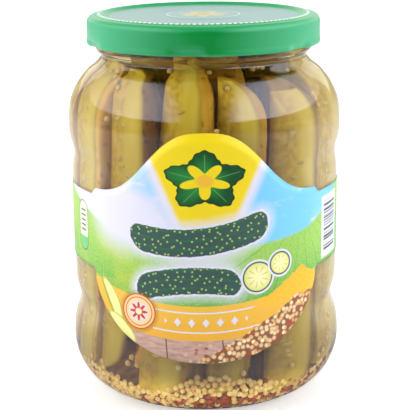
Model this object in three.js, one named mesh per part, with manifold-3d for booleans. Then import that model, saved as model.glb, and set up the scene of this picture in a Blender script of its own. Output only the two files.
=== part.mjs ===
import * as THREE from 'three';
import { mergeVertices } from 'three/addons/utils/BufferGeometryUtils.js';
import Module from 'manifold-3d';

const wasm = await Module();
wasm.setup();

// Driving dimensions, millimetres. The jar stands on z = 0 and its front faces -Y.
const lidRadius = 42.5;          // outside of the skirt, an 82 mm twist-off cap
const lidBottom = 130.3;         // lower edge of the rolled skirt
const lidTop = 141.1;            // crest of the raised ring
const sheet = 0.5;               // lid sheet
const lugCount = 6;
const lugTurn = -7;              // degrees, first lug
const rimTop = 138.8;            // mouth of the jar
const mouthRadius = 35.4;
const finishRadius = 38.9;       // glass inside the lid
const panelRadius = 50.0;        // front and back panels
const bulgeRadius = 50.3;        // widest ring, above the heel
const heelWide = 21.8;
const heelHigh = 18.9;
const wall = 2.6;
const floorThick = 3.6;
const pushUp = 2.2;              // hollow under the base
const gap = 0.3;
const paper = 0.3;               // label stock
const jarSides = 48;
const lidSides = 60;
const labelSides = 96;

const rad = THREE.MathUtils.degToRad;
const smooth = THREE.MathUtils.smoothstep;
const point = (r, z) => new THREE.Vector2(r, z);

// Bearing of a point around the jar: 0 at the front, 90 on the right.
const bearing = (x, y) => THREE.MathUtils.radToDeg(Math.atan2(x, -y));

// How far a bearing lies into the gripped flanks, 0 on the panels and 1 on the sides.
function flank(degrees) {
  const a = Math.abs(degrees);
  return smooth(Math.min(a, 180 - a), 44, 62);
}

// Depth of the flank below the panel: a flat waist with a groove above and below.
function dent(z) {
  const waist = 0.75 * smooth(z, 26, 42) * (1 - smooth(z, 87, 101));
  const low = 1.9 * Math.exp(-(((z - 36) / (z < 36 ? 6 : 4.6)) ** 2));
  const high = 0.9 * Math.exp(-(((z - 91.5) / 3.8) ** 2));
  return waist + low + high;
}

function revolve(points, sides) {
  return new THREE.LatheGeometry(points, sides).rotateX(Math.PI / 2);
}

// Moves every vertex by a rule given bearing, radius and height.
function reshape(geometry, rule) {
  const p = geometry.attributes.position;
  for (let i = 0; i < p.count; i += 1) {
    const x = p.getX(i);
    const y = p.getY(i);
    const r = Math.hypot(x, y);
    const next = rule(bearing(x, y), r, p.getZ(i));
    const k = r > 1e-6 ? next.x / r : 0;
    p.setXYZ(i, x * k, y * k, next.y);
  }
  return geometry;
}

function toSolid(geometry) {
  const g = geometry.clone();
  g.deleteAttribute('normal');
  g.deleteAttribute('uv');
  const welded = mergeVertices(g, 1e-4);
  const body = new wasm.Manifold(new wasm.Mesh({
    numProp: 3,
    vertProperties: new Float32Array(welded.attributes.position.array),
    triVerts: new Uint32Array(welded.index.array),
  }));
  return body;
}

function toGeometry(body) {
  const m = body.getMesh();
  const g = new THREE.BufferGeometry();
  g.setAttribute('position', new THREE.BufferAttribute(new Float32Array(m.vertProperties), 3));
  g.setIndex(new THREE.BufferAttribute(new Uint32Array(m.triVerts), 1));
  g.computeVertexNormals();
  return g;
}

// Outer outline of the glass between heel and neck, as radius over height.
const bodyLine = new THREE.SplineCurve([
  point(bulgeRadius, heelHigh), point(50.1, 25), point(panelRadius, 32), point(panelRadius, 60),
  point(panelRadius, 88), point(50.1, 97), point(50.2, 102), point(49.95, 106.5), point(49.0, 111),
  point(46.7, 115.8), point(44.4, 118.9), point(42.4, 121), point(39.5, 123.3), point(37.8, 125.6),
]).getPoints(260);

function bodyRadius(z) {
  const i = Math.max(1, bodyLine.findIndex((p) => p.y >= z));
  const a = bodyLine[i - 1];
  const b = bodyLine[i];
  return a.x + ((b.x - a.x) * (z - a.y)) / (b.y - a.y);
}

// Quarter ellipse from the bearing ring up to the widest ring, less a wall and a floor.
function heelPoints(side, bottom, steps) {
  const list = [];
  for (let i = 0; i < steps; i += 1) {
    const t = (i / steps) * (Math.PI / 2);
    list.push(point(
      bulgeRadius - heelWide + (heelWide - side) * Math.sin(t),
      heelHigh - (heelHigh - bottom) * Math.cos(t),
    ));
  }
  return list;
}

// Radius of the hollow at a height, before the flanks are pressed in.
function hollowRadius(z) {
  if (z >= 125.6) return mouthRadius;
  if (z > heelHigh) return bodyRadius(z) - wall;
  const u = Math.min(1, (heelHigh - z) / (heelHigh - floorThick));
  return bulgeRadius - heelWide + (heelWide - wall) * Math.sqrt(1 - u * u);
}

// Heights of the rings of facets on the outside and inside of the body.
const outerRows = [18.9, 24, 28.5, 32.3, 36, 39.6, 43.5, 85, 88.3, 91.5, 95, 99, 103, 107, 111, 114.2, 117,
  119.4, 121.4, 123.4, 125.6];
const innerRows = [18.9, 27, 32, 36, 40, 44.5, 84, 88, 91.5, 96, 103, 109, 114, 118, 121.4, 124.2];

// Glass jar: push-up, bearing ring, heel, panelled body, shoulder, bead and mouth in one wall.
function glassJar() {
  const outer = [
    point(0, pushUp), point(19, pushUp - 0.3), point(24, 0.8), point(25.6, 0),
    ...heelPoints(0, 0, 7), ...outerRows.map((z) => point(bodyRadius(z), z)),
    point(37.9, 126.7), point(38.9, 127.5), point(39.4, 128.6), point(39.0, 129.7),
    point(finishRadius - 0.6, 130.6), point(finishRadius - 0.5, rimTop - 1.2), point(finishRadius - 1.4, rimTop),
  ];
  const inner = [
    point(mouthRadius + 0.6, rimTop), point(mouthRadius, rimTop - 0.8), point(mouthRadius, 127),
    ...innerRows.map((z) => point(hollowRadius(z), z)).reverse(), ...heelPoints(wall, floorThick, 5).reverse(),
    point(0, pushUp + floorThick - 0.4),
  ];
  const turned = reshape(revolve([...outer, ...inner], jarSides), (a, r, z) => (
    point(r - (z > heelHigh && z < 104 ? flank(a) * dent(z) : 0), z)
  ));
  let body = toSolid(turned);
  // Short sloping thread ribs that the lid's lugs turn under.
  for (let k = 0; k < lugCount; k += 1) {
    const path = [];
    for (let i = 0; i <= 5; i += 1) {
      const a = rad(lugTurn + 14 + k * 60 + i * 7);
      path.push(new THREE.Vector3(38.6 * Math.sin(a), -38.6 * Math.cos(a), 134.8 - 0.45 * i));
    }
    const section = new THREE.Shape();
    section.absarc(0, 0, 0.95, 0, Math.PI * 2);
    const rib = new THREE.ExtrudeGeometry(section, {
      steps: 5, curveSegments: 6, bevelEnabled: false, extrudePath: new THREE.CatmullRomCurve3(path),
    });
    body = body.add(toSolid(rib));
  }
  return toGeometry(body);
}

// Twist-off lid: recessed panel, raised ring, rolled skirt pinched at the lugs.
function lidShell() {
  const r = lidRadius;
  const profile = [
    point(0, lidTop - 1.7), point(41.2, lidTop - 2), point(r - sheet, lidTop - 2.7),
    point(r - sheet, 132.6), point(r - 1.1, 131.7), point(r - 1, lidBottom + 0.4), point(r - 0.5, lidBottom),
    point(r + 0.1, lidBottom + 0.4), point(r + 0.2, 131.6), point(r, 132.6), point(r - 0.05, lidTop - 2.4),
    point(42.3, lidTop - 1.9), point(41.7, lidTop - 1.2), point(40.9, lidTop - 0.75), point(39.7, lidTop - 0.5),
    point(38.5, lidTop - 0.05), point(37.4, lidTop), point(35.8, lidTop - 1.1), point(0, lidTop - 1.1),
  ];
  const turned = reshape(revolve(profile, lidSides), (a, radius, z) => {
    if (z > 134) return point(radius, z);
    const step = 360 / lugCount;
    const off = Math.abs(((((a - lugTurn) % step) + step * 1.5) % step) - step / 2);
    const pinch = 1 - smooth(off, 3, 11);
    return point(radius - 0.9 * pinch, z - 0.2 * pinch);
  });
  return turned;
}

// Label outline over bearing: an arch with shoulders at the front, narrow wings round the flanks.
function labelTop(a) {
  const b = Math.abs(a);
  return 80.5 + 2.4 * (1 - smooth(b, 50, 54.5)) + 22.9 * Math.exp(-((b / 27.6) ** 2.87));
}

function labelBottom(a) {
  const u = Math.min(1, Math.abs(a) / 52.5);
  return 53.2 - 29.3 * (1 - u ** 2.2) ** 0.62;
}

function labelBand() {
  const inner = panelRadius + gap;
  const outline = [
    point(inner, 0), point(inner + paper, 0), point(inner + paper, 1), point(inner, 1), point(inner, 0),
  ];
  return reshape(revolve(outline, labelSides), (a, r, t) => (
    point(r - 0.75 * flank(a), THREE.MathUtils.lerp(labelBottom(a), labelTop(a), t))
  ));
}

// Gherkin quarters standing in the jar. x, y: the cut edge along the core of the gherkin; skin: the
// bearing the rind faces; r: gherkin radius; lo, hi: ends; lean: millimetres sideways over the height;
// foot: height of the blunt lower end; taper: how much stouter the lower end is.
const quarters = [
  { x: -45, y: -12, skin: 75, r: 18.5, lo: 15, hi: 130, lean: 1, foot: 6, taper: 0 },
  { x: -47, y: 9, skin: 53, r: 19, lo: 16, hi: 131, lean: 0, foot: 6, taper: 0 },
  { x: -31, y: -23, skin: 79, r: 17, lo: 15, hi: 124.8, lean: 8, foot: 7, taper: 0 },
  { x: -18.9, y: -35, skin: 97, r: 18.2, lo: 15, hi: 128.6, lean: 12.5, foot: 4, taper: 0.09 },
  { x: 3, y: -41, skin: 125, r: 16.8, lo: 15, hi: 122, lean: 4, foot: 11, taper: -0.06 },
  { x: 19.5, y: -37, skin: 160, r: 20.5, lo: 15, hi: 121, lean: 3, foot: 3, taper: 0 },
  { x: 39.5, y: -25, skin: -162, r: 19.5, lo: 16, hi: 129, lean: 0, foot: 6, taper: 0 },
  { x: 47, y: 9, skin: -53, r: 19, lo: 16, hi: 131, lean: 0, foot: 6, taper: 0 },
  { x: 22, y: 18, skin: 125, r: 18.5, lo: 15, hi: 134, lean: 2, foot: 5, taper: 0 },
  { x: 8, y: 29, skin: 165, r: 17.5, lo: 15, hi: 134, lean: -4, foot: 6, taper: 0 },
  { x: 2, y: 45, skin: -45, r: 18.5, lo: 15, hi: 133, lean: 5, foot: 4, taper: 0 },
  { x: -22, y: 19, skin: -128, r: 18.5, lo: 15, hi: 134, lean: -3, foot: 5, taper: 0 },
  { x: -5, y: -16, skin: 60, r: 16, lo: 16, hi: 134, lean: 0, foot: 5, taper: 0 },
  { x: 3, y: 8, skin: -60, r: 17, lo: 16, hi: 135, lean: 0, foot: 5, taper: 0 },
];
const coreRadius = 31.5;
const domeHigh = 15;

// Radius left for the food inside the hollow.
function roomAt(z, a) {
  return hollowRadius(z) - (z > heelHigh && z < 104 ? flank(a) * dent(z) : 0) - 1;
}

// Presses what stands in the jar softly inside the hollow.
function settle(r, z, a) {
  const limit = roomAt(z, a);
  const start = limit - 2.5;
  return r <= start ? r : limit - 2.5 * Math.exp(-(r - start) / 2.5);
}

// A gherkin with a round upper end and a blunt lower one, cut to a quarter. Its core edge follows the glass.
function quarter(q) {
  const middle = (q.lo + q.hi) / 2;
  const half = (q.hi - q.lo) / 2;
  const girth = (s) => {
    const upper = Math.max(0, 1 - (half * (1 - s)) / domeHigh);
    const lower = Math.max(0, 1 - (half * (1 + s)) / q.foot);
    const stout = q.r * (1 - q.taper * s) * (1 - 0.1 * Math.abs(s) ** 3);
    return stout * Math.sqrt((1 - upper * upper) * (1 - lower * lower));
  };
  const stations = [-1, -0.975, -0.91, -0.4, 0.25, 0.74, 0.86, 0.94, 0.985, 1];
  const outline = stations.map((s) => point(Math.abs(s) === 1 ? 0 : girth(s), middle + half * s));
  const gherkin = toSolid(revolve(outline, 20));
  const reach = q.r * 2;
  const wedge = new THREE.Shape([
    point(0, 0),
    ...[-45, -15, 15, 45].map((d) => point(reach * Math.sin(rad(q.skin + d)), -reach * Math.cos(rad(q.skin + d)))),
  ]);
  const block = new THREE.ExtrudeGeometry(wedge, { depth: 160, bevelEnabled: false });
  const piece = toGeometry(gherkin.intersect(toSolid(block)));
  const p = piece.attributes.position;
  for (let i = 0; i < p.count; i += 1) {
    const z = p.getZ(i);
    const shift = (q.lean * (z - middle)) / (half * 2);
    const out = Math.hypot(q.x, q.y);
    const pull = Math.min(1, (roomAt(z, bearing(q.x, q.y)) - 0.3) / out);
    const x = p.getX(i) + q.x * pull + (shift * -q.y) / out;
    const y = p.getY(i) + q.y * pull + (shift * q.x) / out;
    const r = Math.hypot(x, y);
    const k = settle(r, z, bearing(x, y)) / r;
    p.setXYZ(i, x * k, y * k, z);
  }
  return toSolid(piece);
}

function pickleHeap() {
  const core = new THREE.CylinderGeometry(coreRadius, coreRadius, 84, 18).rotateX(Math.PI / 2).translate(0, 0, 66);
  return toGeometry(quarters.reduce((heap, q) => heap.add(quarter(q)), toSolid(core)));
}

// Mustard seeds: a settled bed on the floor of the jar with the seeds of its edge standing out.
function seedBed() {
  const top = 13;
  const floorLine = heelPoints(wall + 0.5, floorThick + 0.5, 6);
  const outline = [
    point(0, pushUp + floorThick + 0.2), ...floorLine.filter((p) => p.y < top),
    point(hollowRadius(top + 0.6) - 0.7, top + 0.6), point(36, top - 0.6), point(0, top - 1.4),
  ];
  let bed = toSolid(revolve(outline, 24));
  let seed = 7;
  const random = () => {
    seed = (seed * 16807) % 2147483647;
    return seed / 2147483647;
  };
  for (let i = 0; i < 60; i += 1) {
    const a = rad(i * 137.508);
    const size = 0.95 + 0.3 * random();
    const z = top - 1.6 + 2.4 * random();
    const r = Math.min(hollowRadius(z - size) - size - 0.5, 45) - 3.2 * random() * random();
    const grain = new THREE.IcosahedronGeometry(size, 0).translate(r * Math.sin(a), -r * Math.cos(a), z);
    bed = bed.add(toSolid(grain));
  }
  return toGeometry(bed);
}

function part(name, geometry, color, roughness, metalness) {
  const material = new THREE.MeshStandardMaterial({ color, roughness, metalness });
  material.name = name;
  const mesh = new THREE.Mesh(geometry, material);
  mesh.name = name;
  return mesh;
}

const jar = new THREE.Group();
jar.name = 'pickle_jar';
jar.add(part('glass_jar', glassJar(), 0xe3ebe6, 0.04, 0));
jar.add(part('lid', lidShell(), 0x149a52, 0.32, 0.15));
jar.add(part('label', labelBand(), 0x86bd4a, 0.5, 0));
jar.add(part('pickles', pickleHeap(), 0xb59c48, 0.42, 0));
jar.add(part('mustard_seeds', seedBed(), 0xcdaf62, 0.5, 0));

export default jar;
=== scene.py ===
import math
import random

import bmesh
import bpy
import numpy as np
from mathutils import Matrix, Vector, noise


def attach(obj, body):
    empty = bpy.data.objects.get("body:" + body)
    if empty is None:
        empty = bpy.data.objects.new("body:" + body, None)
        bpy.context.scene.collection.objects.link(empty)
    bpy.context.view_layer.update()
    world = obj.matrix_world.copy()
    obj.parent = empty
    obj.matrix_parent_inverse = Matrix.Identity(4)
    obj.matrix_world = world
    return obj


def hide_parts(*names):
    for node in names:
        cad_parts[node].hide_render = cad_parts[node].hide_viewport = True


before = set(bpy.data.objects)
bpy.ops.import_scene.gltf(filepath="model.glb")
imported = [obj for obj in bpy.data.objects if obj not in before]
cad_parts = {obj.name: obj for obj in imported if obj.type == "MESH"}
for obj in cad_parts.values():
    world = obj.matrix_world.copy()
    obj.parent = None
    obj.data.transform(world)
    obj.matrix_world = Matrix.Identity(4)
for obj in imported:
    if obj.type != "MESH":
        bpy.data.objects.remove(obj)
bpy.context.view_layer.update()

mm = 0.001
fullTurn = 2 * math.pi
random.seed(11)
print("frame loaded:", len(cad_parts), "nodes")


# shader maths: a socket that adds nodes when it is used in an expression
def addNode(tree, kind, settings=None, values=None, out=0):
    node = tree.nodes.new(kind)
    for key, value in (settings or {}).items():
        setattr(node, key, value)
    pairs = values.items() if isinstance(values, dict) else enumerate(values or ())
    for key, value in pairs:
        if isinstance(value, Wire):
            tree.links.new(value.socket, node.inputs[key])
        else:
            node.inputs[key].default_value = value
    return Wire(tree, node.outputs[out]) if len(node.outputs) else None


class Wire:
    def __init__(self, tree, socket):
        self.tree = tree
        self.socket = socket

    def node(self, kind, settings=None, values=None, out=0):
        return addNode(self.tree, kind, settings, values, out)

    def maths(self, operation, *values):
        return self.node("ShaderNodeMath", {"operation": operation}, values)

    def __add__(self, other):
        return self.maths("ADD", self, other)

    def __sub__(self, other):
        return self.maths("SUBTRACT", self, other)

    def __rsub__(self, other):
        return self.maths("SUBTRACT", other, self)

    def __mul__(self, other):
        return self.maths("MULTIPLY", self, other)

    def __truediv__(self, other):
        return self.maths("DIVIDE", self, other)

    def __rtruediv__(self, other):
        return self.maths("DIVIDE", other, self)

    def __pow__(self, other):
        return self.maths("POWER", self, other)

    def __neg__(self):
        return self.maths("MULTIPLY", self, -1.0)

    def __abs__(self):
        return self.maths("ABSOLUTE", self)

    __radd__ = __add__
    __rmul__ = __mul__

    def low(self, other):
        return self.maths("MINIMUM", self, other)

    def high(self, other):
        return self.maths("MAXIMUM", self, other)

    def sine(self):
        return self.maths("SINE", self)

    def cosine(self):
        return self.maths("COSINE", self)

    def fraction(self):
        return self.maths("FRACT", self)

    def whole(self):
        return self.maths("FLOOR", self)

    def arcTan(self, other):  # angle of a point with these two sides
        return self.maths("ARCTAN2", self, other)

    def root(self):
        return self.maths("SQRT", self.high(0.0))

    def step(self, start, end):  # smooth 0 to 1 between two values
        return self.node("ShaderNodeMapRange", {"interpolation_type": "SMOOTHSTEP"},
                         [self, start, end, 0.0, 1.0])

    def edge(self, width):  # 1 inside a signed distance, 0 outside
        return self.step(width, -width)

    def mix(self, a, b):  # colour a where this is 0, colour b where it is 1
        return self.node("ShaderNodeMix", {"data_type": "RGBA"}, {0: self, 6: a, 7: b}, 2)


def rgb(red, green, blue):  # screen colour to the light it stands for
    def light(v):
        v /= 255
        return v / 12.92 if v <= 0.04045 else ((v + 0.055) / 1.055) ** 2.4
    return (light(red), light(green), light(blue), 1.0)


def newMaterial(name):
    material = bpy.data.materials.new(name)
    material.use_nodes = True
    tree = material.node_tree
    tree.nodes.clear()
    place = addNode(tree, "ShaderNodeTexCoord", out=3)
    return material, tree, place


def closeMaterial(tree, surface, volume=None):
    links = {"Surface": surface}
    if volume is not None:
        links["Volume"] = volume
    addNode(tree, "ShaderNodeOutputMaterial", None, links)


def surface(tree, **values):
    return addNode(tree, "ShaderNodeBsdfPrincipled", None,
                   {key.replace("_", " "): value for key, value in values.items()})


def grain(place, scale, detail=2.0, rough=0.5, stretch=None):
    if stretch:
        place = place.node("ShaderNodeMapping", None, {"Vector": place, "Scale": stretch})
    return place.node("ShaderNodeTexNoise", None,
                      {"Vector": place, "Scale": scale, "Detail": detail, "Roughness": rough})


def readAttribute(tree, name, out=2):
    return addNode(tree, "ShaderNodeAttribute", {"attribute_name": name}, None, out)


def axes(tree, vector):  # x, y and z of a vector
    return [addNode(tree, "ShaderNodeSeparateXYZ", None, [vector], k) for k in range(3)]


def relief(tree, strength, depth, height):
    return addNode(tree, "ShaderNodeBump", None, {"Strength": strength, "Distance": depth, "Height": height})


def rayKinds(tree):  # 1 for a ray that is seen, scattered, mirrored or let through
    return [addNode(tree, "ShaderNodeLightPath", out=k).low(1.0) for k in (0, 10, 11, 13)]


def shadowClear(tree, glass, tint):  # lamps reach what stands in the glass
    ray = addNode(tree, "ShaderNodeLightPath", out=1)
    clear = addNode(tree, "ShaderNodeBsdfTransparent", None, {"Color": tint})
    return addNode(tree, "ShaderNodeMixShader", None, [ray, glass, clear])


# mesh helpers
def finishPiece(name, bm, material, node=None):
    mesh = bpy.data.meshes.new(name)
    bm.to_mesh(mesh)
    bm.free()
    placeMesh(name, mesh, material, node)


def placeMesh(name, mesh, material, node=None):
    mesh.materials.append(material)
    mesh.polygons.foreach_set("use_smooth", [True] * len(mesh.polygons))
    thing = bpy.data.objects.new(name, mesh)
    bpy.context.scene.collection.objects.link(thing)
    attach(thing, "root")
    if node:
        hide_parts(node)
    print("made", name, len(mesh.polygons), "faces")


def turn(profile, steps):  # spins a line of radius and height, in millimetres, round the jar's axis
    bm = bmesh.new()
    line = [bm.verts.new((0, -r * mm, z * mm)) for r, z in profile]
    edges = [bm.edges.new(pair) for pair in zip(line, line[1:])]
    bmesh.ops.spin(bm, geom=line + edges, cent=(0, 0, 0), axis=(0, 0, 1), angle=fullTurn,
                   steps=steps, use_merge=True)
    bmesh.ops.remove_doubles(bm, verts=bm.verts, dist=1e-7)
    bmesh.ops.recalc_face_normals(bm, faces=bm.faces)
    return bm


def bearing(x, y):  # degrees round the jar, 0 at the front and 90 on the right
    return math.degrees(math.atan2(x, -y))


def smoothStep(v, start, end):
    t = min(1.0, max(0.0, (v - start) / (end - start)))
    return t * t * (3 - 2 * t)


def reshape(bm, rule):  # moves every point by a rule on bearing, radius and height, in millimetres
    for v in bm.verts:
        r = math.hypot(v.co.x, v.co.y)
        newRadius, newHeight = rule(bearing(v.co.x, v.co.y), r / mm, v.co.z / mm)
        k = newRadius * mm / r if r > 1e-9 else 0
        v.co = (v.co.x * k, v.co.y * k, newHeight * mm)


# jar: outline of the glass, in millimetres
jarShape = {
    "heelWide": 20.0, "heelHigh": 21.0, "bulge": 50.3, "wall": 2.6, "floor": 3.6, "pushUp": 2.2,
    "mouth": 35.4, "neck": 125.6, "rim": 138.8, "sides": 160,
    "line": [(50.3, 21), (50.15, 26), (50, 32), (50, 60), (50, 88), (50.1, 97), (50.2, 102),
             (49.95, 106.5), (49, 111), (46.7, 115.8), (44.4, 118.9), (42.4, 121), (39.5, 123.3),
             (37.8, 125.6)],
}
# flanks pressed in for the hand: where they start, then depth, height and width of the grooves
gripShape = {"side": (44, 62), "top": 104, "waist": 0.75, "waistStart": (26, 42), "waistEnd": (87, 101),
             "lowGroove": (1.9, 36, 6, 4.6), "highGroove": (0.9, 91.5, 3.8)}
threadShape = {"band": (130.6, 136.7), "apart": 60, "turn": 7, "start": 134.8, "fall": 0.45 / 7,
               "high": 1.1, "wide": 0.9, "rise": (0, 3), "end": (33, 37)}


def splinePoints(points, count):
    line = []
    for i in range(count + 1):
        p = (len(points) - 1) * i / count
        k = min(int(p), len(points) - 2)
        t = p - k
        a, b, c, d = (points[max(0, min(len(points) - 1, k + o))] for o in (-1, 0, 1, 2))
        out = []
        for n in (0, 1):
            v0, v1 = (c[n] - a[n]) / 2, (d[n] - b[n]) / 2
            out.append((2 * b[n] - 2 * c[n] + v0 + v1) * t ** 3
                       + (-3 * b[n] + 3 * c[n] - 2 * v0 - v1) * t * t + v0 * t + b[n])
        line.append(out)
    return np.array(line)


bodyLine = splinePoints(jarShape["line"], 260)


def bodyRadius(z):
    return float(np.interp(z, bodyLine[:, 1], bodyLine[:, 0]))


def hollowRadius(z):
    s = jarShape
    if z >= s["neck"]:
        return s["mouth"]
    if z > s["heelHigh"]:
        return bodyRadius(z) - s["wall"]
    u = min(1.0, (s["heelHigh"] - z) / (s["heelHigh"] - s["floor"]))
    return s["bulge"] - s["heelWide"] + (s["heelWide"] - s["wall"]) * math.sqrt(1 - u * u)


def flank(degrees):  # 0 on the front and back panels, 1 on the gripped flanks
    a = abs(degrees)
    return smoothStep(min(a, 180 - a), *gripShape["side"])


def dent(z):
    g = gripShape
    waist = g["waist"] * smoothStep(z, *g["waistStart"]) * (1 - smoothStep(z, *g["waistEnd"]))
    deep, middle, below, above = g["lowGroove"]
    low = deep * math.exp(-((z - middle) / (below if z < middle else above)) ** 2)
    deep, middle, wide = g["highGroove"]
    return waist + low + deep * math.exp(-((z - middle) / wide) ** 2)


def pressed(degrees, z):
    return flank(degrees) * dent(z) if jarShape["heelHigh"] < z < gripShape["top"] else 0.0


def heelLine(side, bottom, steps):
    s = jarShape
    out = []
    for i in range(steps):
        t = i / steps * math.pi / 2
        out.append((s["bulge"] - s["heelWide"] + (s["heelWide"] - side) * math.sin(t),
                    s["heelHigh"] - (s["heelHigh"] - bottom) * math.cos(t)))
    return out


def bodyRows():  # heights of the rings, closer in the shoulder
    low, neck = jarShape["heelHigh"], jarShape["neck"]
    return list(np.arange(low, 110, 1.3)) + list(np.arange(110, neck, 0.7)) + [neck]


def makeGlass():
    s = jarShape
    rows = bodyRows()
    outer = [(0, s["pushUp"]), (10, s["pushUp"]), (19, s["pushUp"] - 0.25), (22, 1.5), (24, 0.7),
             (25, 0.2), (25.8, 0)]
    outer += heelLine(0, 0, 26) + [(bodyRadius(z), z) for z in rows]
    outer += [(37.7, 126.3), (37.9, 126.9), (38.5, 127.4), (39.1, 128), (39.4, 128.6), (39.35, 129.2),
              (38.9, 129.8), (38.4, 130.3), (38.3, 131), (38.4, 134), (38.4, 137.3), (38.2, 138.1),
              (37.6, 138.6), (36.9, s["rim"])]
    inner = [(36.3, 138.75), (35.8, 138.5), (35.5, 138), (35.4, 137.2), (35.4, 133), (35.4, 127.5),
             (35.3, 126.2)]
    inner += [(hollowRadius(z), z) for z in reversed(rows[:-1])]
    inner += heelLine(s["wall"], s["floor"], 22)[::-1] + [(18, 4.5), (8, 5.3), (0, 5.4)]
    bm = turn(outer + inner, s["sides"])

    def shape(degrees, r, z):
        t = threadShape
        if t["band"][0] < z < t["band"][1] and r > 37:  # sloping thread ribs under the lid
            part = (degrees - t["turn"] + 720) % t["apart"]
            off = (z - t["start"] + part * t["fall"]) / t["wide"]
            ends = smoothStep(part, *t["rise"]) * (1 - smoothStep(part, *t["end"]))
            r += t["high"] * math.exp(-off ** 2) * ends
        return r - pressed(degrees, z), z
    reshape(bm, shape)
    material, tree, place = newMaterial("jarGlassClear")
    ripple = relief(tree, 0.03, 0.002, grain(place, 28.0, 1.0))
    glass = surface(tree, Base_Color=(0.97, 0.99, 0.98, 1), Roughness=0.0, IOR=1.5,
                    Transmission_Weight=1.0, Normal=ripple)
    closeMaterial(tree, shadowClear(tree, glass, (0.96, 0.97, 0.96, 1)))
    finishPiece("jarGlass", bm, material, "glass_jar")


# brine round the gherkins, reaching just into the glass
brineLook = {"level": 134.6, "into": 0.08, "meniscus": 1.2, "density": 18.0,
             "tint": (1, 0.97, 0.88, 1), "murk": (0.98, 0.90, 0.34, 1)}


def makeBrine():
    b = brineLook
    s = jarShape
    line = [(0, 5.4 - b["into"]), (8, 5.3 - b["into"]), (18, 4.5 - b["into"])]
    line += [(r + b["into"] * 0.6, z - b["into"] * 0.8) for r, z in heelLine(s["wall"], s["floor"], 22)]
    line += [(hollowRadius(z) + b["into"], z) for z in bodyRows() if z < b["level"]]
    line += [(s["mouth"] + b["into"], z) for z in np.arange(126.4, b["level"] + b["meniscus"], 0.8)]
    for i in range(9):  # the surface meets the glass in a small curve
        t = i / 8
        line.append((s["mouth"] + b["into"] - 4 * t * t, b["level"] + b["meniscus"] * (1 - t) ** 3))
    line += [(20, b["level"]), (10, b["level"]), (0, b["level"])]
    bm = turn(line, s["sides"])
    reshape(bm, lambda degrees, r, z: (r - (pressed(degrees, z) if r > 40 else 0), z))
    material, tree = newMaterial("brineClear")[:2]
    liquid = surface(tree, Base_Color=b["tint"], Roughness=0.0, IOR=1.34, Transmission_Weight=1.0)
    murk = addNode(tree, "ShaderNodeVolumeAbsorption", None, {"Color": b["murk"], "Density": b["density"]})
    closeMaterial(tree, shadowClear(tree, liquid, b["tint"]), murk)
    finishPiece("brine", bm, material)


# gherkin quarters: x, y of the cut core edge, bearing of the rind, radius, ends and lean; the tone
# darkens the rind, which a cap draws over the tip and a peel over one face
quarters = [
    dict(x=-42.6, y=-12, skin=53, r=18.8, lo=13, hi=128.6, lean=5, foot=6, taper=-0.07, tone=0.0),
    dict(x=-47, y=9, skin=50, r=19, lo=15, hi=132, lean=0, foot=6, tone=0.0),
    dict(x=-35.4, y=-22.8, skin=79, r=18.5, lo=13.5, hi=124.8, lean=16, bend=18, foot=7, tone=0.9),
    dict(x=-18, y=-35.4, skin=97, r=19.4, lo=9.5, hi=128.6, lean=12.5, foot=4, taper=0.09, tone=0.3),
    dict(x=2, y=-41, skin=121, r=16.8, lo=10, hi=122, lean=5.5, foot=11, taper=-0.06, tone=0.5),
    dict(x=22, y=-37.5, skin=158, r=20.5, lo=9.5, hi=121, lean=3, foot=3, tone=0.9, cap=0.91, peel=1),
    dict(x=39.5, y=-25, skin=-162, r=19.5, lo=15, hi=129, lean=0, foot=6, tone=0.3),
    dict(x=47, y=9, skin=-53, r=19, lo=16, hi=131, lean=0, foot=6),
    dict(x=22, y=18, skin=125, r=18.5, lo=11, hi=134, lean=2, foot=5),
    dict(x=8, y=29, skin=165, r=17.5, lo=12, hi=134, lean=-4, foot=6),
    dict(x=2, y=45, skin=-45, r=18.5, lo=10, hi=133, lean=5, foot=4),
    dict(x=-22, y=19, skin=-128, r=18.5, lo=12, hi=134, lean=-3, foot=5),
    dict(x=-21, y=-4, skin=75, r=17, lo=10, hi=134, lean=0, foot=5),
    dict(x=-5, y=-16, skin=60, r=16, lo=10, hi=134, lean=0, foot=5),
    dict(x=3, y=8, skin=-60, r=17, lo=10, hi=135, lean=0, foot=5),
    dict(x=12, y=-6, skin=120, r=17, lo=10, hi=133, lean=0, foot=5),
    dict(x=-12, y=8, skin=150, r=17, lo=10, hi=135, lean=0, foot=5),
    dict(x=6, y=-22, skin=-10, r=15, lo=10, hi=131, lean=0, foot=5),
]
quarterMesh = {"around": 64, "along": 84, "dome": 15.0, "cap": 0.97}

# single seeds between the quarters and the glass: bearing and height
wallSeeds = [
    (-45.5, 107.5), (-57, 121.6), (-52, 122), (-50.5, 120.4), (-47, 118.8), (-44, 117.6), (-19, 123.8),
    (3, 123.6), (11, 118.6), (5, 105.5), (57, 114), (57.5, 112), (58, 110), (50, 122), (28, 124),
    (34, 124.2), (31, 124.6), (66, 22), (70, 25), (62, 19), (74, 20), (58, 18), (72, 29), (-60, 18),
    (-52, 17.6), (-36, 20), (-34, 22.5), (-31, 20), (-12, 21), (16, 18.5), (8, 17.5), (40, 18), (140, 20),
    (165, 118), (190, 100), (200, 24), (215, 112), (125, 108), (232, 19),
]


def roomAt(z, degrees):  # radius left inside the glass at a height
    room = hollowRadius(z) - pressed(degrees, z) - 0.12
    for a, height in wallSeeds:
        if abs(z - height) < 4:
            arc = ((degrees - a + 180) % 360 - 180) * 0.8
            room -= 2.2 * math.exp(-((z - height) ** 2 + arc * arc) / 2.4)
    return room


def settle(r, z, degrees):  # presses what stands in the jar softly inside the glass
    limit = roomAt(z, degrees)
    start = limit - 2.5
    return r if r <= start else limit - 2.5 * math.exp(-(r - start) / 2.5)


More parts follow.
